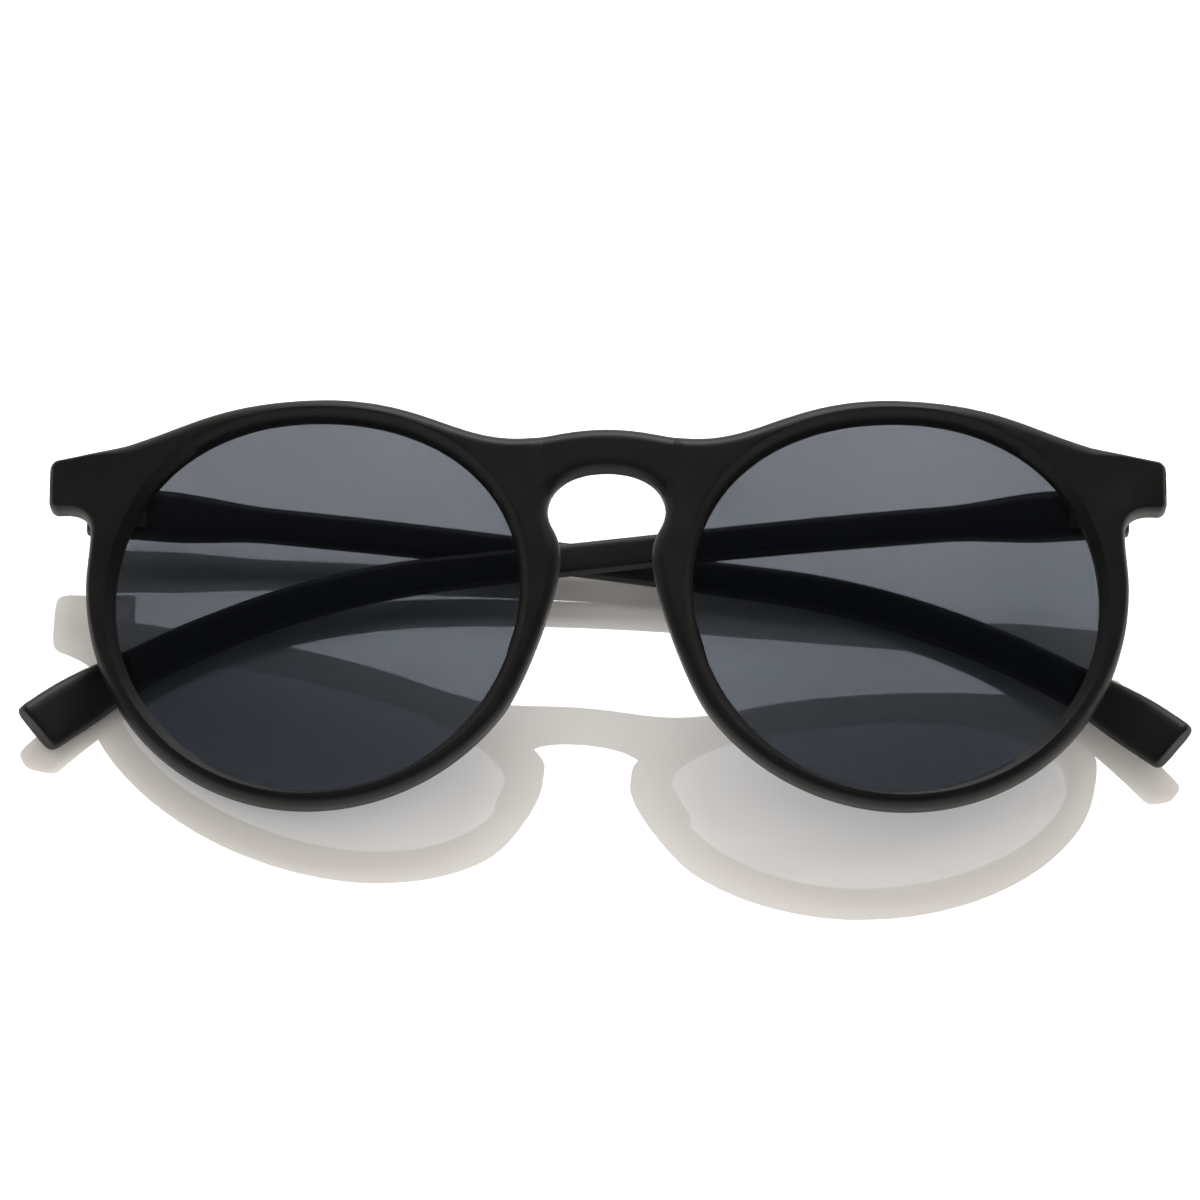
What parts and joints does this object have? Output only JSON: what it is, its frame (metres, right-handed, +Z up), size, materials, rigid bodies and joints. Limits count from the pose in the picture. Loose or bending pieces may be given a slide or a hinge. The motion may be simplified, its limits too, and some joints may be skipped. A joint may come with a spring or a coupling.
{
  "type": "round sunglasses",
  "caption": "Round sunglasses with a keyhole bridge, smoke lenses and slim folding temples, lying folded on a flat surface.",
  "frame": {"origin": "middle of the bottom of the bounding box, on the surface that the folded glasses lie on", "axes": "+X towards the wearer's left end piece, along the width of the front; +Z up from the surface; +Y from the lower rims towards the brow of the front, which leans back"},
  "size_m": [0.1468, 0.053, 0.0331],
  "materials": {
    "frame_plastic": "satin black moulded plastic",
    "smoke_lens": "polished smoke-tinted lens that lets about a third of the light through",
    "hinge_metal": "plain nickel-plated hinge"
  },
  "bodies": {
    "front": {"front_frame": "frame_plastic", "lens_left": "smoke_lens", "lens_right": "smoke_lens", "front_hinge_left": "hinge_metal", "front_hinge_right": "hinge_metal", "hinge_screw_left": "hinge_metal", "hinge_screw_right": "hinge_metal"},
    "left_temple": {"temple_left": "frame_plastic", "temple_hinge_left": "hinge_metal"},
    "right_temple": {"temple_right": "frame_plastic", "temple_hinge_right": "hinge_metal"}
  },
  "joints": [
    {"name": "left_temple_hinge", "type": "hinge", "parent": "front", "child": "left_temple", "pos_m": [0.06449, 0.01836, 0.01738], "axis": [0, 0.9205, 0.3907], "range_deg": [-90.1, 0]},
    {"name": "right_temple_hinge", "type": "hinge", "parent": "front", "child": "right_temple", "pos_m": [-0.06421, 0.02178, 0.00931], "axis": [0, 0.9205, 0.3907], "range_deg": [0, 86.7]}
  ]
}
